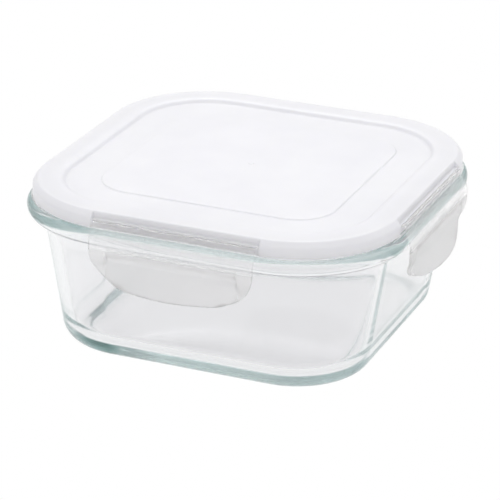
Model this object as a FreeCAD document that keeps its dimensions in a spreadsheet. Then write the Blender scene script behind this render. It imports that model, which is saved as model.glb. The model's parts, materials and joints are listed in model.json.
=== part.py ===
import FreeCAD, Part
import math
import os
import Sketcher

# A square tempered-glass food container with a snap-lock lid. Millimetres, +Z up. The origin is on the
# surface that the container stands on, under the middle of the base. The front flap faces -Y.
#
# Every level of the glass and of the lid is a rounded square, and all of them share the same four
# corner centres, so a level is fully given by its half width. The lid's centre panel is the exception.

DRIVING_DIMENSIONS = {
    # The glass: rounded squares from the foot up to the sealing lip.
    "corner_centre": 34.0,
    "base_half": 65.2,
    "base_round": 7.0,
    "foot_half": 55.5,
    "foot_depth": 0.8,
    "floor_level": 3.9,
    "floor_half": 61.3,
    "floor_round": 10.0,
    "wall_half": 73.6,
    "rim_half": 80.0,
    "rim_low": 54.2,
    "rim_high": 60.2,
    "rim_round": 2.9,
    "lip_half": 75.6,
    "lip_inner_half": 70.5,
    "lip_high": 63.5,
    "lip_round": 1.2,
    # The lid: skirt, sloped shoulder, flat stacking band, recessed field, centre panel and plug wall.
    "lid_half": 77.7,
    "lid_low": 61.2,
    "lid_high": 68.0,
    "shoulder_low": 65.9,
    "band_outer_half": 75.8,
    "band_inner_half": 67.2,
    "field_half": 64.4,
    "field_level": 66.2,
    "field_underside": 64.4,
    "panel_half": 50.0,
    "panel_radius": 16.5,
    "panel_step": 0.6,
    "gate_radius": 1.1,
    "gate_step": 0.25,
    "skirt_inner_half": 76.1,
    "skirt_roof": 63.9,
    "groove_half": 74.6,
    "groove_roof": 65.6,
    "plug_half": 69.6,
    "plug_inner_half": 68.0,
    "plug_low": 58.5,
    # The gasket lies in the lid's groove, on top of the glass lip.
    "gasket_half": 74.4,
    "gasket_inner_half": 69.8,
    "gasket_low": 63.55,
    # The notch in the lid behind each flap, and the living hinge at its ledge.
    "notch_width": 70.4,
    "notch_wall": 75.9,
    "notch_skirt": 77.0,
    "notch_outer": 79.0,
    "ledge_half": 77.3,
    "ledge_low": 64.2,
    "ledge_high": 65.0,
    "hinge_half": 78.2,
    "hinge_level": 64.75,
    "web_low": 64.5,
    "web_outer": 0.45,
    # A flap, measured outward and downward from its hinge line. From the hinge it goes out round the
    # rim's edge, then tucks in below it: the inner face of the tuck is the hook.
    "flap_width": 69.0,
    "flap_top": 0.25,
    "flap_root": 0.45,
    "flap_root_low": 0.45,
    "flap_foot": 27.5,
    "knee_out": 3.85,
    "knee_drop": 6.4,
    "knee_in": 2.85,
    "bulge_out": 4.05,
    "bulge_high": 10.0,
    "bulge_low": 14.2,
    "bulge_in": 2.9,
    "tuck_out": 3.0,
    "tuck_in": 2.1,
    "tuck_drop": 18.6,
    "hook_drop": 12.3,
    # Its outline: straight sides, a side arc, a corner arc and the bowed bottom edge.
    "side_drop": 9.5,
    "side_radius": 17.0,
    "shoulder_side": 30.46,
    "shoulder_drop": 20.5,
    "corner_radius": 13.6,
    "corner_side": 21.26,
    "corner_drop": 25.25,
    "bow_radius": 248.1,
    # Its finger pull: a band that tucks in sooner, and below it a lip that flares and bows outward.
    "pull_half": 26.8,
    "pull_overlap": 0.5,
    "pull_drop": 12.5,
    "pull_root_in": 2.15,
    "pull_foot_out": 7.39,
    "pull_foot_side": 3.19,
    "pull_thick": 0.95,
}

# Each side of the lid, by the angle that its outward direction makes with +X.
SIDES = {"right": 0, "back": 90, "left": 180, "front": 270}

doc = FreeCAD.newDocument("GlassStorageContainer")
sheet = doc.addObject("Spreadsheet::Sheet", "Sheet")


def fill_sheet():
    """Write the driving dimensions, one named cell to a row."""
    for row, (name, value) in enumerate(DRIVING_DIMENSIONS.items(), start=1):
        sheet.set(f"A{row}", name)
        sheet.set(f"B{row}", str(value))
        sheet.setAlias(f"B{row}", name)
    doc.recompute()


def size(expression):
    """The value of an expression in the sheet's names, such as 'Sheet.rim_half - 2'."""
    result = sheet.evalExpression(expression)
    return float(getattr(result, "Value", result))


def new_body(label):
    """A body whose label is the sub-part's name."""
    body = doc.addObject("PartDesign::Body", label)
    body.Label = label
    return body


def new_sketch(body, name, plane="XY_Plane", offset="0"):
    """A sketch on one of the body's own origin planes, moved along the plane's normal."""
    sketch = body.newObject("Sketcher::SketchObject", f"{body.Name}_{name}")
    support = [item for item in body.Origin.OriginFeatures if item.Role == plane][0]
    sketch.AttachmentSupport = [(support, "")]
    sketch.MapMode = "FlatFace"
    sketch.setExpression("AttachmentOffset.Base.z", offset)
    return sketch


def pin(sketch, geometry, vertex, across, up, name):
    """Hold a vertex at two expressions, measured from the sketch's origin."""
    for direction, expression in (("X", across), ("Y", up)):
        constraint = Sketcher.Constraint(f"Distance{direction}", -1, 1, geometry, vertex, size(expression))
        index = sketch.addConstraint(constraint)
        sketch.renameConstraint(index, f"{name}_{direction.lower()}")
        sketch.setExpression(f"Constraints.{name}_{direction.lower()}", expression)


def add_rounded_square(sketch, half, centre="Sheet.corner_centre", name="square"):
    """A rounded square about the origin, by its half width and the position of its corner centres."""
    reach = size(half)
    middle = size(centre)
    radius = reach - middle
    point = FreeCAD.Vector
    first = sketch.GeometryCount
    turns = [math.radians(90 * quarter) for quarter in range(4)]
    for turn in turns:
        spin = FreeCAD.Rotation(point(0, 0, 1), math.degrees(turn))
        start = spin.multVec(point(reach, -middle, 0))
        end = spin.multVec(point(reach, middle, 0))
        hub = spin.multVec(point(middle, middle, 0))
        circle = Part.Circle(hub, point(0, 0, 1), radius)
        sketch.addGeometry(Part.LineSegment(start, end))
        sketch.addGeometry(Part.ArcOfCircle(circle, turn, turn + math.pi / 2))
    for side in range(4):
        line = first + 2 * side
        arc = line + 1
        following = first + (2 * side + 2) % 8
        sketch.addConstraint(Sketcher.Constraint("Tangent", line, 2, arc, 1))
        sketch.addConstraint(Sketcher.Constraint("Tangent", arc, 2, following, 1))
        sketch.addConstraint(Sketcher.Constraint("Vertical" if side % 2 == 0 else "Horizontal", line))
    for side in range(1, 4):
        sketch.addConstraint(Sketcher.Constraint("Equal", first + 1, first + 1 + 2 * side))
    sketch.addConstraint(Sketcher.Constraint("Symmetric", first + 1, 3, first + 5, 3, -1, 1))
    pin(sketch, first + 1, 3, centre, centre, f"{name}_centre")
    index = sketch.addConstraint(Sketcher.Constraint("Radius", first + 1, radius))
    sketch.renameConstraint(index, f"{name}_radius")
    sketch.setExpression(f"Constraints.{name}_radius", f"{half} - ({centre})")


def add_polygon(sketch, corners, name="corner"):
    """A closed polygon whose corners are pairs of expressions."""
    first = sketch.GeometryCount
    points = [FreeCAD.Vector(size(across), size(up), 0) for across, up in corners]
    for index, start in enumerate(points):
        sketch.addGeometry(Part.LineSegment(start, points[(index + 1) % len(points)]))
    for index, (across, up) in enumerate(corners):
        following = first + (index + 1) % len(points)
        sketch.addConstraint(Sketcher.Constraint("Coincident", first + index, 2, following, 1))
        pin(sketch, first + index, 1, across, up, f"{name}{index}")


def add_rectangle(sketch, left, right, low, high, name="corner"):
    """A rectangle between four expressions."""
    add_polygon(sketch, [(left, low), (right, low), (right, high), (left, high)], name)


def level_sketch(body, name, level, *halves):
    """A level of the body: one rounded square, or a ring between two of them."""
    sketch = new_sketch(body, name, offset=level)
    for index, half in enumerate(halves):
        add_rounded_square(sketch, half, name=f"square{index}")
    return sketch


def add_pad(body, name, sketch, length, both_ways=False):
    """Pad a sketch along its normal, or half each way."""
    pad = body.newObject("PartDesign::Pad", f"{body.Name}_{name}")
    pad.Profile = sketch
    pad.SideType = "Symmetric" if both_ways else "One side"
    pad.setExpression("Length", length)
    doc.recompute()
    return pad


def add_pocket(body, name, sketch, length, both_ways=False):
    """Cut a sketch upward along its normal, or half each way, and make sure that it cut something."""
    before = body.Shape.Volume
    pocket = body.newObject("PartDesign::Pocket", f"{body.Name}_{name}")
    pocket.Profile = sketch
    pocket.Reversed = not both_ways
    pocket.SideType = "Symmetric" if both_ways else "One side"
    pocket.setExpression("Length", length)
    doc.recompute()
    if not body.Shape.Volume < before - 1.0:
        raise RuntimeError(f"{pocket.Name} cut nothing")
    return pocket


def add_loft(body, name, lower, upper, kind="AdditiveLoft"):
    """Join two sketches of one body with straight-sided faces, as added or as removed material."""
    before = body.Shape.Volume if body.Tip else 0.0
    loft = body.newObject(f"PartDesign::{kind}", f"{body.Name}_{name}")
    loft.Profile = lower
    loft.Sections = [upper]
    loft.Ruled = True
    doc.recompute()
    if kind == "SubtractiveLoft" and not body.Shape.Volume < before - 1.0:
        raise RuntimeError(f"{loft.Name} cut nothing")
    return loft


def edges_at(shape, level, half):
    """Names of the edges that lie level, on the rounded square of that half width."""
    height = size(level)
    reach = size(half)
    middle = size("Sheet.corner_centre")
    names = []
    for index, edge in enumerate(shape.Edges, start=1):
        box = edge.BoundBox
        spot = edge.valueAt((edge.FirstParameter + edge.LastParameter) / 2)
        past_x = max(abs(spot.x) - middle, 0.0)
        past_y = max(abs(spot.y) - middle, 0.0)
        flat = abs(box.ZMin - height) < 1e-3 and abs(box.ZMax - height) < 1e-3
        if flat and abs(math.hypot(past_x, past_y) - (reach - middle)) < 1e-3:
            names.append(f"Edge{index}")
    if len(names) != 8:
        raise RuntimeError(f"{len(names)} edges at {level}, {half}")
    return names


def add_fillet(body, name, radius, *loops):
    """Round every edge of the loops, each given as a level and a half width."""
    base = body.Tip
    names = []
    for level, half in loops:
        names += edges_at(base.Shape, level, half)
    fillet = body.newObject("PartDesign::Fillet", f"{body.Name}_{name}")
    fillet.Base = (base, names)
    fillet.setExpression("Radius", radius)
    doc.recompute()
    return fillet


def make_glass():
    """The dish: tapered walls, a thick floor on a foot ring, a rounded rim and the sealing lip."""
    body = new_body("glass_container")
    foot = level_sketch(body, "foot", "0", "Sheet.base_half")
    under_rim = level_sketch(body, "under_rim", "Sheet.rim_low", "Sheet.wall_half")
    add_loft(body, "wall", foot, under_rim)
    rim = level_sketch(body, "rim_outline", "Sheet.rim_low", "Sheet.rim_half")
    add_pad(body, "rim", rim, "Sheet.rim_high - Sheet.rim_low")
    lip = level_sketch(body, "lip_outline", "Sheet.rim_high", "Sheet.lip_half")
    add_pad(body, "lip", lip, "Sheet.lip_high - Sheet.rim_high")
    floor = level_sketch(body, "floor", "Sheet.floor_level", "Sheet.floor_half")
    mouth = level_sketch(body, "mouth", "Sheet.lip_high", "Sheet.lip_inner_half")
    add_loft(body, "cavity", floor, mouth, "SubtractiveLoft")
    hollow = level_sketch(body, "foot_hollow", "0", "Sheet.foot_half")
    add_pocket(body, "foot_recess", hollow, "Sheet.foot_depth")
    add_fillet(body, "rim_rounding", "Sheet.rim_round",
               ("Sheet.rim_low", "Sheet.rim_half"), ("Sheet.rim_high", "Sheet.rim_half"))
    add_fillet(body, "lip_rounding", "Sheet.lip_round",
               ("Sheet.lip_high", "Sheet.lip_half"), ("Sheet.lip_high", "Sheet.lip_inner_half"))
    add_fillet(body, "floor_rounding", "Sheet.floor_round", ("Sheet.floor_level", "Sheet.floor_half"))
    add_fillet(body, "base_rounding", "Sheet.base_round", ("0", "Sheet.base_half"))
    return body


def notch_sketch(body, name, level, wall):
    """Four rectangles, one on each side of the lid, from a wall position outward."""
    sketch = new_sketch(body, name, offset=level)
    near = wall
    far = "Sheet.notch_outer"
    half = "Sheet.notch_width / 2"
    add_rectangle(sketch, near, far, f"-{half}", half, "right")
    add_rectangle(sketch, f"-{far}", f"-{near}", f"-{half}", half, "left")
    add_rectangle(sketch, f"-{half}", half, near, far, "back")
    add_rectangle(sketch, f"-{half}", half, f"-{far}", f"-{near}", "front")
    return sketch


def make_lid():
    """The lid moulding: skirt, shoulder, stacking band, recessed field with its panel, and plug wall."""
    body = new_body("lid")
    skirt = level_sketch(body, "skirt_outline", "Sheet.lid_low", "Sheet.lid_half")
    add_pad(body, "skirt", skirt, "Sheet.shoulder_low - Sheet.lid_low")
    lower = level_sketch(body, "shoulder_foot", "Sheet.shoulder_low", "Sheet.lid_half")
    upper = level_sketch(body, "band_outline", "Sheet.lid_high", "Sheet.band_outer_half")
    add_loft(body, "shoulder", lower, upper)
    field = level_sketch(body, "field_outline", "Sheet.field_level", "Sheet.field_half")
    band = level_sketch(body, "band_inner", "Sheet.lid_high", "Sheet.band_inner_half")
    add_loft(body, "recess", field, band, "SubtractiveLoft")
    panel = new_sketch(body, "panel_outline", offset="Sheet.field_level")
    add_rounded_square(panel, "Sheet.panel_half", "Sheet.panel_half - Sheet.panel_radius", "panel")
    add_pad(body, "panel", panel, "Sheet.panel_step")
    gate = new_sketch(body, "gate_outline", offset="Sheet.field_level + Sheet.panel_step")
    gate.addGeometry(Part.Circle(FreeCAD.Vector(), FreeCAD.Vector(0, 0, 1), size("Sheet.gate_radius")))
    gate.addConstraint(Sketcher.Constraint("Coincident", 0, 3, -1, 1))
    index = gate.addConstraint(Sketcher.Constraint("Radius", 0, size("Sheet.gate_radius")))
    gate.renameConstraint(index, "gate_radius")
    gate.setExpression("Constraints.gate_radius", "Sheet.gate_radius")
    add_pad(body, "gate", gate, "Sheet.gate_step")
    hollow = level_sketch(body, "hollow_outline", "Sheet.lid_low", "Sheet.skirt_inner_half")
    add_pocket(body, "hollow", hollow, "Sheet.skirt_roof - Sheet.lid_low")
    under = level_sketch(body, "field_under", "Sheet.skirt_roof", "Sheet.plug_inner_half")
    add_pocket(body, "field_thinning", under, "Sheet.field_underside - Sheet.skirt_roof")
    groove = level_sketch(body, "groove_ring", "Sheet.skirt_roof", "Sheet.groove_half", "Sheet.plug_half")
    add_pocket(body, "groove", groove, "Sheet.groove_roof - Sheet.skirt_roof")
    plug = level_sketch(body, "plug_ring", "Sheet.plug_low", "Sheet.plug_half", "Sheet.plug_inner_half")
    add_pad(body, "plug", plug, "Sheet.skirt_roof - Sheet.plug_low")
    above = notch_sketch(body, "notch_above", "Sheet.ledge_high", "Sheet.notch_wall")
    add_pocket(body, "shoulder_notches", above, "Sheet.lid_high + 1 - Sheet.ledge_high")
    ledge = notch_sketch(body, "ledge_edge", "Sheet.ledge_low", "Sheet.ledge_half")
    add_pocket(body, "ledge_trim", ledge, "Sheet.ledge_high - Sheet.ledge_low")
    below = notch_sketch(body, "notch_below", "Sheet.lid_low - 1", "Sheet.notch_skirt")
    add_pocket(body, "skirt_insets", below, "Sheet.ledge_low - Sheet.lid_low + 1")
    return body


def make_gasket():
    """The silicone ring in the lid's groove."""
    body = new_body("gasket")
    ring = level_sketch(body, "ring", "Sheet.gasket_low", "Sheet.gasket_half", "Sheet.gasket_inner_half")
    add_pad(body, "seal", ring, "Sheet.groove_roof - Sheet.gasket_low")
    return body


def arc_between(start, end, radius):
    """The shorter arc of a circle from one point to the other, turning clockwise."""
    chord = end - start
    reach = math.sqrt(radius ** 2 - (chord.Length / 2) ** 2)
    inward = FreeCAD.Vector(chord.y, -chord.x, 0).normalize()
    centre = (start + end) / 2 + inward * reach
    middle = centre - inward * radius
    return Part.Arc(start, middle, end)


def add_flap_outline(sketch):
    """The flap's face as seen from outside: straight sides that curve in to a bowed bottom edge."""
    top = "Sheet.flap_top + 1"
    half = "Sheet.flap_width / 2"
    corners = [
        (f"-{half}", top, None),
        (half, top, None),
        (half, "-Sheet.side_drop", "Sheet.side_radius"),
        ("Sheet.shoulder_side", "-Sheet.shoulder_drop", "Sheet.corner_radius"),
        ("Sheet.corner_side", "-Sheet.corner_drop", "Sheet.bow_radius"),
        ("-Sheet.corner_side", "-Sheet.corner_drop", "Sheet.corner_radius"),
        ("-Sheet.shoulder_side", "-Sheet.shoulder_drop", "Sheet.side_radius"),
        (f"-{half}", "-Sheet.side_drop", None),
    ]
    first = sketch.GeometryCount
    points = [FreeCAD.Vector(size(across), size(up), 0) for across, up, radius in corners]
    for index, (across, up, radius) in enumerate(corners):
        start = points[index]
        end = points[(index + 1) % len(points)]
        if radius:
            sketch.addGeometry(arc_between(start, end, size(radius)))
        else:
            sketch.addGeometry(Part.LineSegment(start, end))
    # An arc is stored anticlockwise, so a clockwise one starts at its second vertex.
    for index, (across, up, radius) in enumerate(corners):
        curve = first + index
        following = (index + 1) % len(corners)
        leaving = 1 if radius else 2
        arriving = 2 if corners[following][2] else 1
        coincident = Sketcher.Constraint("Coincident", curve, leaving, first + following, arriving)
        sketch.addConstraint(coincident)
        pin(sketch, curve, 2 if radius else 1, across, up, f"flap{index}")
        if radius:
            number = sketch.addConstraint(Sketcher.Constraint("Radius", curve, size(radius)))
            sketch.renameConstraint(number, f"flap{index}_radius")
            sketch.setExpression(f"Constraints.flap{index}_radius", radius)


def pull_foot(body):
    """The bowed strip that the pull's lip ends in, level with the foot of the flap."""
    sketch = new_sketch(body, "pull_foot", "XY_Plane", "-Sheet.flap_foot")
    inner = ("Sheet.pull_foot_side - Sheet.pull_thick", "Sheet.pull_foot_out - Sheet.pull_thick")
    outer = ("Sheet.pull_foot_side", "Sheet.pull_foot_out")
    half = size("Sheet.pull_half")
    for index, (edge, middle) in enumerate((inner, outer)):
        ends = [FreeCAD.Vector(size(edge), across, 0) for across in (-half, half)]
        sketch.addGeometry(Part.Arc(ends[0], FreeCAD.Vector(size(middle), 0, 0), ends[1]))
        pin(sketch, index, 1, edge, "-Sheet.pull_half", f"near{index}")
        pin(sketch, index, 2, edge, "Sheet.pull_half", f"far{index}")
        rise = f"({middle} - ({edge}))"
        bow = f"(Sheet.pull_half ^ 2 + {rise} ^ 2) / (2 * {rise})"
        number = sketch.addConstraint(Sketcher.Constraint("Radius", index, size(bow)))
        sketch.renameConstraint(number, f"bow{index}")
        sketch.setExpression(f"Constraints.bow{index}", bow)
    for vertex in (1, 2):
        corners = [sketch.getPoint(index, vertex) for index in (0, 1)]
        line = sketch.addGeometry(Part.LineSegment(*corners))
        sketch.addConstraint(Sketcher.Constraint("Coincident", line, 1, 0, vertex))
        sketch.addConstraint(Sketcher.Constraint("Coincident", line, 2, 1, vertex))
    return sketch


def make_latch(side, angle):
    """One flap, drawn with its hinge line on the Y axis and its face outward, then set on its side."""
    body = new_body(f"latch_{side}")
    profile = new_sketch(body, "profile", "XZ_Plane")
    add_polygon(profile, [
        ("Sheet.flap_root", "Sheet.flap_top"),
        ("Sheet.knee_out", "-Sheet.knee_drop"),
        ("Sheet.bulge_out", "-Sheet.bulge_high"),
        ("Sheet.bulge_out", "-Sheet.bulge_low"),
        ("Sheet.tuck_out", "-Sheet.tuck_drop"),
        ("Sheet.tuck_out", "-Sheet.flap_foot"),
        ("Sheet.tuck_in", "-Sheet.flap_foot"),
        ("Sheet.tuck_in", "-Sheet.hook_drop"),
        ("Sheet.bulge_in", "-Sheet.bulge_high"),
        ("Sheet.knee_in", "-Sheet.knee_drop"),
        ("Sheet.flap_root", "-Sheet.flap_root_low"),
    ])
    add_pad(body, "plate", profile, "Sheet.flap_width", both_ways=True)
    opening = new_sketch(body, "pull_opening", "XZ_Plane")
    add_rectangle(opening, "0", "2 * Sheet.bulge_out", "-Sheet.flap_foot - 1", "-Sheet.bulge_high")
    add_pocket(body, "pull_gap", opening, "2 * (Sheet.pull_half - Sheet.pull_overlap)", both_ways=True)
    band = new_sketch(body, "pull_band", "XZ_Plane")
    add_polygon(band, [
        ("Sheet.bulge_out", "-Sheet.bulge_high"),
        ("Sheet.tuck_out", "-Sheet.pull_drop"),
        ("Sheet.pull_root_in", "-Sheet.pull_drop"),
        ("Sheet.bulge_in", "-Sheet.bulge_high"),
    ])
    add_pad(body, "pull_tuck", band, "2 * Sheet.pull_half", both_ways=True)
    root = new_sketch(body, "pull_root", "XY_Plane", "-Sheet.pull_drop")
    add_rectangle(root, "Sheet.pull_root_in", "Sheet.tuck_out", "-Sheet.pull_half", "Sheet.pull_half")
    add_loft(body, "pull_lip", root, pull_foot(body))
    trim = new_sketch(body, "trim", "YZ_Plane")
    add_flap_outline(trim)
    add_rectangle(trim, "-Sheet.flap_width", "Sheet.flap_width",
                  "-2 * Sheet.flap_foot", "Sheet.flap_foot", "around")
    add_pocket(body, "outline", trim, "4 * Sheet.pull_foot_out", both_ways=True)
    body.setExpression("Placement.Base.x", f"Sheet.hinge_half * cos({angle} deg)")
    body.setExpression("Placement.Base.y", f"Sheet.hinge_half * sin({angle} deg)")
    body.setExpression("Placement.Base.z", "Sheet.hinge_level")
    body.Placement.Rotation = FreeCAD.Rotation(FreeCAD.Vector(0, 0, 1), angle)
    return body


def make_web(side, angle):
    """The thin living hinge between the lid's ledge and one flap."""
    web = doc.addObject("Part::Box", f"hinge_web_{side}")
    web.Label = f"hinge_web_{side}"
    web.setExpression("Length", "Sheet.hinge_half + Sheet.web_outer - Sheet.ledge_half")
    web.setExpression("Width", "Sheet.flap_width")
    web.setExpression("Height", "Sheet.ledge_high - Sheet.web_low")
    along = f"Sheet.ledge_half * cos({angle} deg) + Sheet.flap_width / 2 * sin({angle} deg)"
    across = f"Sheet.ledge_half * sin({angle} deg) - Sheet.flap_width / 2 * cos({angle} deg)"
    web.setExpression("Placement.Base.x", along)
    web.setExpression("Placement.Base.y", across)
    web.setExpression("Placement.Base.z", "Sheet.web_low")
    web.Placement.Rotation = FreeCAD.Rotation(FreeCAD.Vector(0, 0, 1), angle)
    return web


def check_document(parts):
    """Stop if any object failed or any sub-part's shape is missing or broken."""
    for item in doc.Objects:
        if "Invalid" in item.State or "Error" in item.State:
            raise RuntimeError(f"{item.Name} failed: {item.State}")
    for part in parts:
        if part.Shape.isNull() or not part.Shape.isValid() or len(part.Shape.Solids) != 1:
            raise RuntimeError(f"{part.Label} has no single valid solid")


def export(parts):
    """Write each sub-part to its own file."""
    os.makedirs("parts", exist_ok=True)
    for part in parts:
        part.Shape.exportStep(f"parts/{part.Label}.step")
        box = part.Shape.optimalBoundingBox()
        spans = " ".join(f"{low:.2f}..{high:.2f}" for low, high in (
            (box.XMin, box.XMax), (box.YMin, box.YMax), (box.ZMin, box.ZMax)))
        print(f"{part.Label}: {spans}, volume {part.Shape.Volume:.0f}")


fill_sheet()
sub_parts = [make_glass(), make_lid(), make_gasket()]
for side_name, side_angle in SIDES.items():
    sub_parts.append(make_latch(side_name, side_angle))
    sub_parts.append(make_web(side_name, side_angle))
doc.recompute()
check_document(sub_parts)
export(sub_parts)
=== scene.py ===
import json
import math

import bpy
from mathutils import Matrix, Quaternion, Vector


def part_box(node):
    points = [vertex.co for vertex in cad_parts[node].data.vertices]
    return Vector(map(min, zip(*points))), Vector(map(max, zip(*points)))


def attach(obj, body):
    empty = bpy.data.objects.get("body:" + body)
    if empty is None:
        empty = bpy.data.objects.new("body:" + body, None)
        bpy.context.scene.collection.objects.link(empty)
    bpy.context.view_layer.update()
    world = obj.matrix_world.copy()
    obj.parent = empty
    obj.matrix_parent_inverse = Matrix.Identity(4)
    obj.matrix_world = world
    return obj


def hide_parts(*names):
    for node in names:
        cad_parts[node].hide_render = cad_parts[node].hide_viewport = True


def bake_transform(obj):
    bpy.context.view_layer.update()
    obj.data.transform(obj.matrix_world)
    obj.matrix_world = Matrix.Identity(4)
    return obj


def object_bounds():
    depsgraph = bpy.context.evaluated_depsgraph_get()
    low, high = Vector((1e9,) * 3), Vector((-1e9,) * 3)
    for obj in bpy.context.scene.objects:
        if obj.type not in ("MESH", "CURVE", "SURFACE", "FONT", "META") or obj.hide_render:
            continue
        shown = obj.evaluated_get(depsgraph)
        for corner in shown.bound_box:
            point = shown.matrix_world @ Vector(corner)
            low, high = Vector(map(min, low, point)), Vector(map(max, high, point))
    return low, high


# A square glass food container with a snap-lock lid. The CAD frame gives every place and every joint.
# Here each piece is a closed mesh swept or gridded from its own section, with moulded roundings.
# Sections are in millimetres, like the drawing of such a part, and MM turns them into metres.

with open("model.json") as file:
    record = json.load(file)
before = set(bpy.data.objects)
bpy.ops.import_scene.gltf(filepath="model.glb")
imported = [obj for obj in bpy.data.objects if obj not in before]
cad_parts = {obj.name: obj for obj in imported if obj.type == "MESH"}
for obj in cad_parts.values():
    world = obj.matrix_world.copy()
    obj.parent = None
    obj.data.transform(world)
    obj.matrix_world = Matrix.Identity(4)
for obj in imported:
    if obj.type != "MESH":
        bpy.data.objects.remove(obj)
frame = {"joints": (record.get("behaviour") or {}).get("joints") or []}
cad_box = [list(corner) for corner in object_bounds()]

MM = 0.001
SIDES = {"right": 0, "back": 90, "left": 180, "front": 270}
JOINTS = {joint["name"]: joint for joint in frame["joints"]}

# Places read from the frame, in millimetres.
GLASS_LOW, GLASS_HIGH = (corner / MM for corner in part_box("glass_container"))
LID_LOW, LID_HIGH = (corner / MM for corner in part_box("lid"))
GASKET_LOW, GASKET_HIGH = (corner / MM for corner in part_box("gasket"))
FLAP_LOW, FLAP_HIGH = (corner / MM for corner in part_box("latch_right"))
WEB_LOW, WEB_HIGH = (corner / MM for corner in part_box("hinge_web_right"))
HINGE = Vector(JOINTS["latch_right_swing"]["pos_m"]) / MM

# Every level of the glass and of the lid's rim shares these corner centres.
CORNER_CENTRE = 34.0
PANEL_CENTRE = 33.5


# ---------------------------------------------------------------- sections and sweeps

def arc(centre, radius, start, end, steps):
    """Points on an arc in a section, angles in degrees."""
    points = []
    for step in range(steps + 1):
        angle = math.radians(start + (end - start) * step / steps)
        points.append((centre[0] + radius * math.cos(angle), centre[1] + radius * math.sin(angle)))
    return points


def line(start, end, steps):
    """Points between two section points, without the first and the last."""
    points = []
    for step in range(1, steps):
        share = step / steps
        points.append(tuple(a + (b - a) * share for a, b in zip(start, end)))
    return points


def smooth(share):
    """A soft step from 0 to 1."""
    share = min(max(share, 0.0), 1.0)
    return share * share * (3 - 2 * share)


def curve(points, place):
    """A smooth line through pairs of place and value, without overshoot."""
    if place <= points[0][0]:
        return points[0][1]
    for before, after in zip(points, points[1:]):
        if place <= after[0]:
            break
    else:
        return points[-1][1]
    index = points.index(before)
    width = after[0] - before[0]
    slope = (after[1] - before[1]) / width

    def tangent(other):
        other_slope = (other[1][1] - other[0][1]) / (other[1][0] - other[0][0])
        if slope * other_slope <= 0:
            return 0.0
        return 2 * slope * other_slope / (slope + other_slope)

    entry = tangent(points[index - 1:index + 1]) if index else slope
    leaving = tangent(points[index + 1:index + 3]) if index + 2 < len(points) else slope
    share = (place - before[0]) / width
    rest = 1 - share
    value = before[1] * (1 + 2 * share) * rest ** 2 + after[1] * share ** 2 * (3 - 2 * share)
    return value + width * (entry * share * rest ** 2 - leaving * share ** 2 * rest)


def stations(straight_steps, corner_angles):
    """Places around a rounded square: the share of the corner centre in X and Y, and the outward angle."""
    places = []
    for quarter in range(4):
        turn = 90 * quarter
        for step in range(straight_steps):
            places.append((1.0, 2 * step / straight_steps - 1, 0.0, turn))
        for angle in corner_angles:
            places.append((1.0, 1.0, angle, turn))
    return places


def station_point(place, centre, radius, height):
    """The point of a level at a station, for that level's corner centre and corner radius."""
    across, along, angle, turn = place
    spot = Vector((
        centre * across + radius * math.cos(math.radians(angle)),
        centre * along + radius * math.sin(math.radians(angle)),
        height,
    ))
    return Matrix.Rotation(math.radians(turn), 3, "Z") @ spot


def build_mesh(name, points, faces, sharp_angle):
    """A smooth-shaded mesh object from millimetre points, sharp where faces meet more steeply."""
    mesh = bpy.data.meshes.new(name)
    mesh.from_pydata([tuple(point * MM) for point in points], [], faces)
    mesh.validate()
    mesh.shade_smooth()
    mesh.set_sharp_from_angle(angle=math.radians(sharp_angle))
    obj = bpy.data.objects.new(name, mesh)
    bpy.context.scene.collection.objects.link(obj)
    return obj


def loops_to_faces(loops, count, closed):
    """Quads between neighbouring loops of count points, and between the last and the first if closed."""
    faces = []
    rows = loops if closed else loops - 1
    for row in range(rows):
        low = row * count
        high = (row + 1) % loops * count
        for index in range(count):
            following = (index + 1) % count
            faces.append((low + index, low + following, high + following, high + index))
    return faces


def flip(faces):
    """The same faces, turned inside out."""
    return [tuple(reversed(face)) for face in faces]


# ---------------------------------------------------------------- the glass

GLASS_CORNER_STEPS = 90


def glass_section():
    """The dish's section from under its middle, out round the rim and back to the middle of its floor."""
    rim = GLASS_HIGH.x
    lip_top = GLASS_HIGH.z
    lip_outer = rim - 4.4
    lip_inner = rim - 9.5
    rim_low = lip_top - 9.3
    rim_high = lip_top - 3.3
    rim_round = 2.9
    lip_round = 1.2
    base_round = 7.0
    base_centre = 59.21
    hollow = 0.8
    hollow_edge = 54.5
    hollow_ramp = 2.0
    floor_level = 3.9
    floor_round = 10.0
    floor_centre = 52.79
    middle = CORNER_CENTRE + 0.01
    wall_lean = math.degrees(math.atan2(8.4, rim_low))
    bore_lean = math.degrees(math.atan2(8.9, lip_top - 5.5))
    points = [(middle, hollow), (44.0, hollow), (hollow_edge, hollow)]
    for step in range(1, 7):
        points.append((hollow_edge + hollow_ramp * step / 6, hollow * (1 - smooth(step / 6))))
    points += [(57.8, 0.0)]
    points += arc((base_centre, base_round), base_round, -90, -wall_lean, 14)
    points += line(points[-1], (73.28, rim_low - 1.6), 8)
    points += arc((74.93, rim_low - 1.6), 1.6, 180 - wall_lean, 90, 5)
    points += arc((rim - rim_round, rim_low + rim_round), rim_round, -90, 0, 12)
    points += arc((rim - rim_round, rim_high - rim_round), rim_round, 0, 90, 12)
    points += arc((lip_outer + 0.5, rim_high + 0.5), 0.5, -90, -180, 4)
    points += arc((lip_outer - lip_round, lip_top - lip_round), lip_round, 0, 90, 6)
    points += arc((lip_inner + lip_round, lip_top - lip_round), lip_round, 90, 180 - bore_lean, 6)
    points += line(points[-1], (62.665, 12.32), 10)
    points += arc((floor_centre, floor_level + floor_round), floor_round, -bore_lean, -90, 16)
    points += [(47.0, floor_level), (41.0, floor_level), (middle, floor_level)]
    return points


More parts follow.
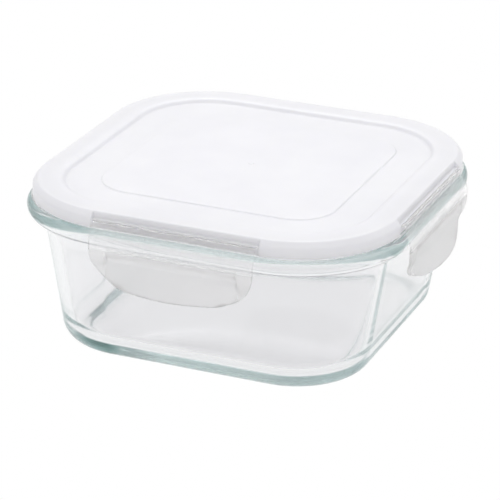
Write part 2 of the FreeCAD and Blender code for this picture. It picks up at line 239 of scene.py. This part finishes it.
def make_glass():
    """The dish, swept round the rounded square from its section."""
    places = stations(10, [90 * step / GLASS_CORNER_STEPS for step in range(GLASS_CORNER_STEPS)])
    section = glass_section()
    points = []
    for half, height in section:
        for place in places:
            points.append(station_point(place, CORNER_CENTRE, half - CORNER_CENTRE, height))
    count = len(places)
    faces = loops_to_faces(len(section), count, closed=False)
    faces.append(tuple(reversed(range(count))))
    last = (len(section) - 1) * count
    faces.append(tuple(range(last, last + count)))
    dish = build_mesh("glass_dish", points, faces, 50)
    finish_piece(dish, "container", "clear_glass", glass_material(), "glass_container")
    return dish


# ---------------------------------------------------------------- the lid

NOTCH_END = 1.3
NOTCH_ROUND = 0.7


def notch_share(place):
    """1 behind a flap, 0 at the lid's corners, and a quick rounded step between them."""
    off_side = min(place[2], 90 - place[2])
    return 1 - smooth((off_side - NOTCH_END) / NOTCH_ROUND)


def lid_top_section():
    """From the panel's edge out to the start of the shoulder: corner centre, half width, height."""
    top = LID_HIGH.z
    field = top - 1.8
    panel = field + 0.6
    levels = [(PANEL_CENTRE, 42.0, panel), (PANEL_CENTRE, 49.45, panel), (PANEL_CENTRE, 49.75, panel - 0.04)]
    levels += [(PANEL_CENTRE, 49.95, panel - 0.16), (PANEL_CENTRE, 50.05, field + 0.2)]
    levels += [(PANEL_CENTRE, 50.2, field + 0.05), (PANEL_CENTRE, 50.5, field)]
    levels += [(CORNER_CENTRE, 56.0, field), (CORNER_CENTRE, 62.5, field)]
    slope = [(63.6, 0.0), (64.3, 0.12), (64.9, 0.75), (65.5, 1.3), (66.3, 1.62), (67.4, 1.78), (68.2, 1.8)]
    for step in range(17):
        half = 63.6 + 4.4 * step / 16
        levels.append((CORNER_CENTRE, half, field + curve(slope, half)))
    levels += [(CORNER_CENTRE, 68.6, top), (CORNER_CENTRE, 71.5, top)]
    return levels


def lid_outer_section():
    """The shoulder and skirt, each point at a corner of the lid and behind a flap."""
    top = LID_HIGH.z
    low = top - 6.8
    ledge = WEB_HIGH.z
    return [
        ((74.6, top), (74.7, top)),
        ((75.3, top - 0.04), (75.35, top - 0.04)),
        ((75.65, top - 0.16), (75.62, top - 0.15)),
        ((75.9, top - 0.36), (75.8, top - 0.4)),
        ((76.3, top - 0.8), (75.88, top - 0.9)),
        ((77.0, top - 1.55), (75.9, ledge + 0.5)),
        ((77.3, top - 1.9), (75.97, ledge + 0.2)),
        ((77.5, top - 2.2), (76.15, ledge + 0.04)),
        ((77.62, top - 2.5), (76.4, ledge)),
        ((77.68, top - 2.9), (77.1, ledge)),
        ((77.7, top - 3.2), (77.26, ledge - 0.06)),
        ((77.7, top - 3.5), (77.3, ledge - 0.2)),
        ((77.7, top - 3.8), (77.3, ledge - 0.65)),
        ((77.7, top - 4.0), (77.2, ledge - 0.8)),
        ((77.7, top - 4.2), (77.05, ledge - 0.86)),
        ((77.7, top - 4.4), (77.0, ledge - 1.1)),
        ((77.7, low + 0.35), (77.0, low + 0.35)),
        ((77.6, low + 0.1), (76.92, low + 0.1)),
        ((77.35, low), (76.75, low)),
    ]


def lid_under_section():
    """From the skirt's lower edge in past the gasket groove and the plug wall to the panel's underside."""
    low = LID_HIGH.z - 6.8
    roof = LID_HIGH.z - 4.1
    groove = GASKET_HIGH.z
    plug = LID_LOW.z
    under = LID_HIGH.z - 3.6
    return [
        (76.4, low), (76.18, low + 0.06), (76.1, low + 0.25), (76.1, roof - 0.3), (76.0, roof - 0.06),
        (75.8, roof), (74.75, roof), (74.62, roof + 0.1), (74.6, groove - 0.25), (74.4, groove),
        (69.85, groove), (69.65, groove - 0.15), (69.6, groove - 0.4), (69.6, plug + 0.5),
        (69.45, plug + 0.12), (69.1, plug), (68.5, plug), (68.15, plug + 0.12), (68.0, plug + 0.5),
        (68.0, under - 0.7), (67.8, under - 0.2), (67.3, under), (55.0, under), (40.0, under),
    ]


def make_lid():
    """The lid moulding, with its notches behind the four flaps and the gate mark in its middle."""
    fine = [0, 0.7, 1.15, 1.3, 1.45, 1.6, 1.75, 1.9, 2.05, 2.3, 3.2, 5.5, 8.5]
    corner = fine + [12 + 66 * step / 14 for step in range(15)] + [90 - angle for angle in reversed(fine[1:])]
    places = stations(10, corner)
    count = len(places)
    points = []
    panel = LID_HIGH.z - 1.2
    rim_angles = []
    for place in places:
        spot = station_point(place, PANEL_CENTRE, 10.0, 0)
        rim_angles.append(math.atan2(spot.y, spot.x))
    gate_mark = [(0.9, panel + 0.25), (1.1, panel + 0.18), (1.15, panel), (1.6, panel), (12.0, panel)]
    for radius, height in gate_mark:
        points += [Vector((radius * math.cos(a), radius * math.sin(a), height)) for a in rim_angles]
    for centre, half, height in lid_top_section():
        points += [station_point(place, centre, half - centre, height) for place in places]
    for plain, notched in lid_outer_section():
        for place in places:
            share = notch_share(place)
            half = plain[0] + (notched[0] - plain[0]) * share
            height = plain[1] + (notched[1] - plain[1]) * share
            points.append(station_point(place, CORNER_CENTRE, half - CORNER_CENTRE, height))
    for half, height in lid_under_section():
        centre = min(CORNER_CENTRE, half - 6)
        points += [station_point(place, centre, half - centre, height) for place in places]
    loops = len(points) // count
    faces = flip(loops_to_faces(loops, count, closed=False))
    faces.append(tuple(range(count)))
    last = (loops - 1) * count
    faces.append(tuple(reversed(range(last, last + count))))
    lid = build_mesh("lid_moulding", points, faces, 38)
    finish_piece(lid, "lid", "milky_polypropylene", lid_material(), "lid")
    return lid


def make_gasket():
    """The silicone ring: a flat back in the groove and a rounded sealing face with two ribs."""
    outer = GASKET_HIGH.x
    inner = outer - 4.6
    top = GASKET_HIGH.z
    low = GASKET_LOW.z
    middle = (outer + inner) / 2
    section = [
        (inner + 0.2, top), (inner, top - 0.2), (inner, low + 0.5), (inner + 0.15, low + 0.15),
        (inner + 0.5, low), (inner + 1.1, low + 0.05), (middle - 0.5, low + 0.35), (middle + 0.5, low + 0.35),
        (outer - 1.1, low + 0.05), (outer - 0.5, low), (outer - 0.15, low + 0.15), (outer, low + 0.5),
        (outer, top - 0.2), (outer - 0.2, top),
    ]
    places = stations(8, [90 * step / 16 for step in range(16)])
    points = []
    for half, height in section:
        points += [station_point(place, CORNER_CENTRE, half - CORNER_CENTRE, height) for place in places]
    faces = loops_to_faces(len(section), len(places), closed=True)
    gasket = build_mesh("gasket_ring", points, faces, 45)
    finish_piece(gasket, "lid", "silicone", silicone_material(), "gasket")
    return gasket


# ---------------------------------------------------------------- the flaps

# The outline: straight to SIDE_DROP, then an arc to the shoulder, where the tighter corner arc takes over.
SIDE_DROP = 9.5
SIDE_RADIUS = 17.0
SHOULDER_DROP = 20.5
SHOULDER_SIDE = 30.46
SHOULDER_SINE = 0.647
SHOULDER_COSINE = 0.7625
CORNER_RADIUS = 13.6
FLAP_ROWS = 76
FLAP_THICK = 1.0
CORNER_DROP = 25.25
BOW = 0.912
PULL_SIDE = 28.2
PULL_WALL = 0.9
INNER_WALL_SHIFT = 0.35
ROOT_RISE = 0.25
ROOT_LENGTH = 3.5
PULL_TOP = 12.5
PULL_BOW = 190
FLAP_CLEAR_ABOVE = 56.0
FLAP_MILKY_BELOW = 53.5

# How far the flap's outer face stands out from the hinge line, by the drop below it.
WING = [
    (-0.25, 0.45), (1.5, 1.5), (3.5, 2.65), (5.5, 3.45), (7.5, 3.88), (9.5, 4.05), (12.0, 4.05), (14.5, 3.85),
    (16.5, 3.35), (18.5, 2.55), (20.5, 1.95), (22.5, 1.7), (27.5, 1.6),
]
PULL = [
    (-0.25, 0.45), (1.5, 1.5), (3.5, 2.65), (5.5, 3.45), (7.5, 3.88), (9.2, 4.02), (10.6, 3.8), (12.0, 3.3),
    (13.4, 2.85), (14.6, 2.85), (15.6, 3.35), (16.8, 4.0), (20.0, 5.05), (26.16, 7.0), (27.5, 7.4),
]


def flap_half_width(drop):
    """Half the flap's width at a drop below its hinge: straight, a side arc, then a corner arc."""
    if drop <= SIDE_DROP:
        return FLAP_HIGH.y
    if drop <= SHOULDER_DROP:
        return FLAP_HIGH.y - SIDE_RADIUS + math.sqrt(SIDE_RADIUS ** 2 - (drop - SIDE_DROP) ** 2)
    sine = SHOULDER_SINE + (drop - SHOULDER_DROP) / CORNER_RADIUS
    return SHOULDER_SIDE - CORNER_RADIUS * (SHOULDER_COSINE - math.sqrt(1 - sine ** 2))


def pull_out(across, drop):
    """The pull's face: a band that tucks in under the rim, then a lip that flares and bows outward."""
    share = max(drop - PULL_TOP, 0.0) / (FLAP_HIGH.z - FLAP_LOW.z - PULL_TOP)
    return curve(PULL, drop) - share * across ** 2 / PULL_BOW


def row_spots(half, wall_shift):
    """Places across one row, and how much of the pull each has: its face, its side walls, the wings."""
    side = min(PULL_SIDE, half - 0.8) - wall_shift
    wall = [(side - PULL_WALL + PULL_WALL * step / 5, 1 - smooth(step / 5)) for step in range(6)]
    wing = [(side + (half - side) * step / 9, 0.0) for step in range(1, 10)]
    face = [((side - PULL_WALL) * (step / 22), 1.0) for step in range(22)]
    near = face + wall + wing
    return [(-spot, share) for spot, share in reversed(near[1:])] + near


def make_flap(side, angle, material):
    """One flap: an outer and an inner face gridded over the flap's outline, closed round the edge."""
    outer, inner = [], []
    for row in range(FLAP_ROWS + 1):
        share = row / FLAP_ROWS
        drop = -ROOT_RISE + (CORNER_DROP + ROOT_RISE) * share
        half = flap_half_width(drop)
        root = max(1 - (drop + ROOT_RISE) / ROOT_LENGTH, 0.0)
        for layer, wall_shift in ((outer, 0.0), (inner, INNER_WALL_SHIFT)):
            for across, pull in row_spots(half, wall_shift):
                down = drop + BOW * smooth((share - 0.45) / 0.55) * (1 - (across / half) ** 2)
                out = curve(WING, down) * (1 - pull) + pull_out(across, down) * pull
                if layer is inner:
                    out -= FLAP_THICK * (1 - root)
                    down += 0.7 * root
                layer.append(Vector((out, across, -down)))
    columns = len(outer) // (FLAP_ROWS + 1)
    points = outer + inner
    size = len(outer)
    faces = []
    for row in range(FLAP_ROWS):
        for column in range(columns - 1):
            a = row * columns + column
            b = a + columns
            faces.append((a, b, b + 1, a + 1))
            faces.append((size + a, size + a + 1, size + b + 1, size + b))
    border = list(range(columns))
    border += [row * columns + columns - 1 for row in range(1, FLAP_ROWS + 1)]
    border += [FLAP_ROWS * columns + column for column in range(columns - 2, -1, -1)]
    border += [row * columns for row in range(FLAP_ROWS - 1, 0, -1)]
    for index, here in enumerate(border):
        following = border[(index + 1) % len(border)]
        faces.append((here, following, size + following, size + here))
    turn = Matrix.Rotation(math.radians(angle), 3, "Z")
    points = [turn @ (point + HINGE) for point in points]
    flap = build_mesh(f"flap_{side}", points, faces, 40)
    bevel = flap.modifiers.new("edge_rounding", "BEVEL")
    bevel.width = 0.3 * MM
    bevel.segments = 2
    bevel.limit_method = "ANGLE"
    bevel.angle_limit = math.radians(60)
    finish_piece(flap, f"latch_{side}", "clear_polypropylene", material, f"latch_{side}")
    return flap


def make_web(side, angle, material):
    """The living hinge: a thin strip, thinnest at the hinge line, between lid and flap."""
    steps = 8
    half = WEB_HIGH.y
    near = WEB_LOW.x
    far = WEB_HIGH.x
    top = WEB_HIGH.z
    low = WEB_LOW.z
    section = []
    for step in range(steps + 1):
        share = step / steps
        waist = 0.14 * math.sin(math.pi * share)
        section.append((near + (far - near) * share, top - waist))
    for step in range(steps, -1, -1):
        share = step / steps
        waist = 0.1 * math.sin(math.pi * share)
        section.append((near + (far - near) * share, low + waist))
    along = [half * (2 * step / 12 - 1) for step in range(13)]
    turn = Matrix.Rotation(math.radians(angle), 3, "Z")
    points = [turn @ Vector((x, y, z)) for y in along for x, z in section]
    count = len(section)
    faces = loops_to_faces(len(along), count, closed=False)
    faces.append(tuple(reversed(range(count))))
    last = (len(along) - 1) * count
    faces.append(tuple(range(last, last + count)))
    web = build_mesh(f"living_hinge_{side}", points, faces, 40)
    web.data.materials.append(material)
    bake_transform(web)
    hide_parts(f"hinge_web_{side}")
    return web


# ---------------------------------------------------------------- materials

def new_material(name):
    """A node material, with its tree and its Principled shader."""
    material = bpy.data.materials.new(name)
    material.use_nodes = True
    tree = material.node_tree
    return material, tree, tree.nodes["Principled BSDF"]


def add_noise(tree, scale, detail):
    """A noise texture in object space."""
    place = tree.nodes.new("ShaderNodeTexCoord")
    noise = tree.nodes.new("ShaderNodeTexNoise")
    noise.inputs["Scale"].default_value = scale
    noise.inputs["Detail"].default_value = detail
    tree.links.new(place.outputs["Object"], noise.inputs["Vector"])
    return noise


def add_ramp(tree, source, low, high):
    """Map a noise's strength to a range of greys or colours."""
    ramp = tree.nodes.new("ShaderNodeValToRGB")
    ramp.color_ramp.elements[0].position = 0.3
    ramp.color_ramp.elements[1].position = 0.7
    ramp.color_ramp.elements[0].color = low
    ramp.color_ramp.elements[1].color = high
    tree.links.new(source, ramp.inputs["Fac"])
    return ramp


def add_bump(tree, shader, source, strength, distance):
    """Drive the surface's small relief from a texture."""
    bump = tree.nodes.new("ShaderNodeBump")
    bump.inputs["Strength"].default_value = strength
    bump.inputs["Distance"].default_value = distance
    tree.links.new(source, bump.inputs["Height"])
    tree.links.new(bump.outputs["Normal"], shader.inputs["Normal"])


def grey(value):
    """A neutral colour."""
    return (value, value, value, 1.0)


def glass_material():
    """Clear pressed soda-lime glass: slightly green through its thickness, and faintly wavy."""
    material, tree, shader = new_material("clear_glass")
    shader.inputs["Base Color"].default_value = (0.955, 0.95, 0.96, 1.0)
    shader.inputs["IOR"].default_value = 1.49
    shader.inputs["Transmission Weight"].default_value = 1.0
    waves = add_noise(tree, 28.0, 1.0)
    ramp = add_ramp(tree, waves.outputs["Fac"], grey(0.05), grey(0.08))
    tree.links.new(ramp.outputs["Color"], shader.inputs["Roughness"])
    add_bump(tree, shader, waves.outputs["Fac"], 0.06, 0.0006)
    absorption = tree.nodes.new("ShaderNodeVolumeAbsorption")
    absorption.inputs["Color"].default_value = (0.64, 0.88, 0.86, 1.0)
    absorption.inputs["Density"].default_value = 5.0
    output = tree.nodes["Material Output"]
    tree.links.new(absorption.outputs["Volume"], output.inputs["Volume"])
    return material


def lid_material():
    """Milky polypropylene: satin, faintly mottled, and lit through from behind."""
    material, tree, shader = new_material("milky_polypropylene")
    cloud = add_noise(tree, 35.0, 3.0)
    tint = add_ramp(tree, cloud.outputs["Fac"], (0.845, 0.842, 0.885, 1.0), (0.885, 0.882, 0.92, 1.0))
    tree.links.new(tint.outputs["Color"], shader.inputs["Base Color"])
    grain = add_noise(tree, 160.0, 3.0)
    gloss = add_ramp(tree, grain.outputs["Fac"], grey(0.30), grey(0.37))
    tree.links.new(gloss.outputs["Color"], shader.inputs["Roughness"])
    shader.inputs["IOR"].default_value = 1.49
    shader.inputs["Transmission Weight"].default_value = 0.12
    shader.inputs["Subsurface Weight"].default_value = 0.35
    shader.inputs["Subsurface Radius"].default_value = (0.004, 0.004, 0.0045)
    shader.inputs["Subsurface Scale"].default_value = 1.0
    add_bump(tree, shader, cloud.outputs["Fac"], 0.05, 0.0002)
    return material


def flap_material():
    """Natural polypropylene: polished and clear over the rim, and milkier on the pull below it."""
    material, tree, shader = new_material("clear_polypropylene")
    place = tree.nodes.new("ShaderNodeTexCoord")
    split = tree.nodes.new("ShaderNodeSeparateXYZ")
    tree.links.new(place.outputs["Object"], split.inputs["Vector"])
    cloud = add_noise(tree, 45.0, 2.0)
    tint = add_ramp(tree, cloud.outputs["Fac"], (0.97, 0.965, 0.965, 1.0), (0.99, 0.985, 0.985, 1.0))
    tree.links.new(tint.outputs["Color"], shader.inputs["Base Color"])
    for socket, above, below in (
        ("Alpha", 0.45, 0.85),
        ("Roughness", 0.12, 0.32),
        ("Transmission Weight", 0.92, 0.8),
    ):
        fade = tree.nodes.new("ShaderNodeMapRange")
        fade.interpolation_type = "SMOOTHSTEP"
        fade.inputs["From Min"].default_value = FLAP_CLEAR_ABOVE * MM
        fade.inputs["From Max"].default_value = FLAP_MILKY_BELOW * MM
        fade.inputs["To Min"].default_value = above
        fade.inputs["To Max"].default_value = below
        tree.links.new(split.outputs["Z"], fade.inputs["Value"])
        tree.links.new(fade.outputs["Result"], shader.inputs[socket])
    shader.inputs["IOR"].default_value = 1.45
    add_bump(tree, shader, cloud.outputs["Fac"], 0.01, 0.0001)
    return material


def silicone_material():
    """Translucent white silicone rubber, matt with a faint dusting."""
    material, tree, shader = new_material("silicone")
    dust = add_noise(tree, 400.0, 4.0)
    tint = add_ramp(tree, dust.outputs["Fac"], (0.82, 0.82, 0.82, 1.0), (0.90, 0.90, 0.89, 1.0))
    tree.links.new(tint.outputs["Color"], shader.inputs["Base Color"])
    gloss = add_ramp(tree, dust.outputs["Fac"], grey(0.5), grey(0.62))
    tree.links.new(gloss.outputs["Color"], shader.inputs["Roughness"])
    shader.inputs["Transmission Weight"].default_value = 0.2
    add_bump(tree, shader, dust.outputs["Fac"], 0.1, 0.0002)
    return material


def finish_piece(piece, body, slot, material, *nodes):
    """Give a piece its material and its body, and hide the CAD nodes that it stands for; the slot is not
    used.
    """
    piece.data.materials.append(material)
    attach(piece, body)
    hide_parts(*nodes)


# ---------------------------------------------------------------- floor, light and camera

def choose_for_camera(tree, lit, plain):
    """One shader for the light that falls on the object, and a plain one where it is seen directly."""
    path = tree.nodes.new("ShaderNodeLightPath")
    choose = tree.nodes.new("ShaderNodeMixShader")
    tree.links.new(path.outputs["Is Camera Ray"], choose.inputs["Fac"])
    tree.links.new(lit, choose.inputs[1])
    tree.links.new(plain, choose.inputs[2])
    return choose


def make_floor():
    """A wide pale table, overexposed to plain white where it is seen directly."""
    span = 4.0
    gap_below_foot = 0.0002
    mesh = bpy.data.meshes.new("floor")
    corners = [(-span, -span, 0.0), (span, -span, 0.0), (span, span, 0.0), (-span, span, 0.0)]
    mesh.from_pydata(corners, [], [(0, 1, 2, 3)])
    floor = bpy.data.objects.new("floor", mesh)
    bpy.context.scene.collection.objects.link(floor)
    material, tree, shader = new_material("studio_floor")
    shader.inputs["Base Color"].default_value = grey(0.15)
    shader.inputs["Roughness"].default_value = 0.9
    shader.inputs["Specular IOR Level"].default_value = 0.0
    shader.inputs["Emission Color"].default_value = grey(1.0)
    shader.inputs["Emission Strength"].default_value = 0.84
    white = tree.nodes.new("ShaderNodeEmission")
    choose = choose_for_camera(tree, shader.outputs["BSDF"], white.outputs["Emission"])
    tree.links.new(choose.outputs["Shader"], tree.nodes["Material Output"].inputs["Surface"])
    mesh.materials.append(material)
    floor.location.z = -gap_below_foot


def make_world():
    """White studio air: bright overhead, dimmer towards the horizon, and white to the camera."""
    world = bpy.data.worlds.new("studio")
    bpy.context.scene.world = world
    world.use_nodes = True
    tree = world.node_tree
    background = tree.nodes["Background"]
    place = tree.nodes.new("ShaderNodeTexCoord")
    split = tree.nodes.new("ShaderNodeSeparateXYZ")
    tree.links.new(place.outputs["Generated"], split.inputs["Vector"])
    ramp = tree.nodes.new("ShaderNodeValToRGB")
    ramp.color_ramp.elements[0].position = 0.0
    ramp.color_ramp.elements[0].color = grey(0.6)
    ramp.color_ramp.elements[1].position = 0.75
    ramp.color_ramp.elements[1].color = grey(1.0)
    tree.links.new(split.outputs["Z"], ramp.inputs["Fac"])
    tree.links.new(ramp.outputs["Color"], background.inputs["Color"])
    background.inputs["Strength"].default_value = 1.05
    plain = tree.nodes.new("ShaderNodeBackground")
    plain.inputs["Color"].default_value = grey(1.0)
    choose = choose_for_camera(tree, background.outputs["Background"], plain.outputs["Background"])
    tree.links.new(choose.outputs["Shader"], tree.nodes["World Output"].inputs["Surface"])


def add_softbox(name, place, target, size, power):
    """A large square light that faces the object."""
    light = bpy.data.lights.new(name, "AREA")
    light.shape = "SQUARE"
    light.size = size
    light.energy = power
    lamp = bpy.data.objects.new(name, light)
    lamp.location = place
    lamp.rotation_mode = "QUATERNION"
    lamp.rotation_quaternion = (Vector(place) - Vector(target)).to_track_quat("Z", "Y")
    bpy.context.scene.collection.objects.link(lamp)


def make_camera():
    """A long lens, looking down at the front from a little to the right."""
    azimuth = math.radians(22.27)
    elevation = math.radians(22.7)
    roll = math.radians(0.79)
    distance = 1.0771
    aim_below_top = 0.03965
    target = Vector((0.0, 0.0, cad_box[1][2] - aim_below_top))
    back = Vector((
        math.sin(azimuth) * math.cos(elevation),
        -math.cos(azimuth) * math.cos(elevation),
        math.sin(elevation),
    ))
    data = bpy.data.cameras.new("camera")
    data.sensor_width = 36.0
    data.lens = 186.6
    data.clip_end = 20.0
    camera = bpy.data.objects.new("camera", data)
    camera.location = target + back * distance
    camera.rotation_mode = "QUATERNION"
    camera.rotation_quaternion = back.to_track_quat("Z", "Y") @ Quaternion((0, 0, 1), roll)
    bpy.context.scene.collection.objects.link(camera)
    bpy.context.scene.camera = camera


make_glass()
make_lid()
make_gasket()
plastic = flap_material()
for side_name, side_angle in SIDES.items():
    make_flap(side_name, side_angle, plastic)
    make_web(side_name, side_angle, plastic)
make_floor()
make_world()
add_softbox("top_softbox", (-0.3, 0.9, 1.6), (0, 0, 0.03), 1.2, 9)
make_camera()
scene = bpy.context.scene
scene.view_settings.view_transform = "Standard"
# Light that is trapped in the glass counts as glossy, so all of these are high together.
scene.cycles.max_bounces = 64
scene.cycles.transmission_bounces = 64
scene.cycles.glossy_bounces = 64
scene.cycles.diffuse_bounces = 8
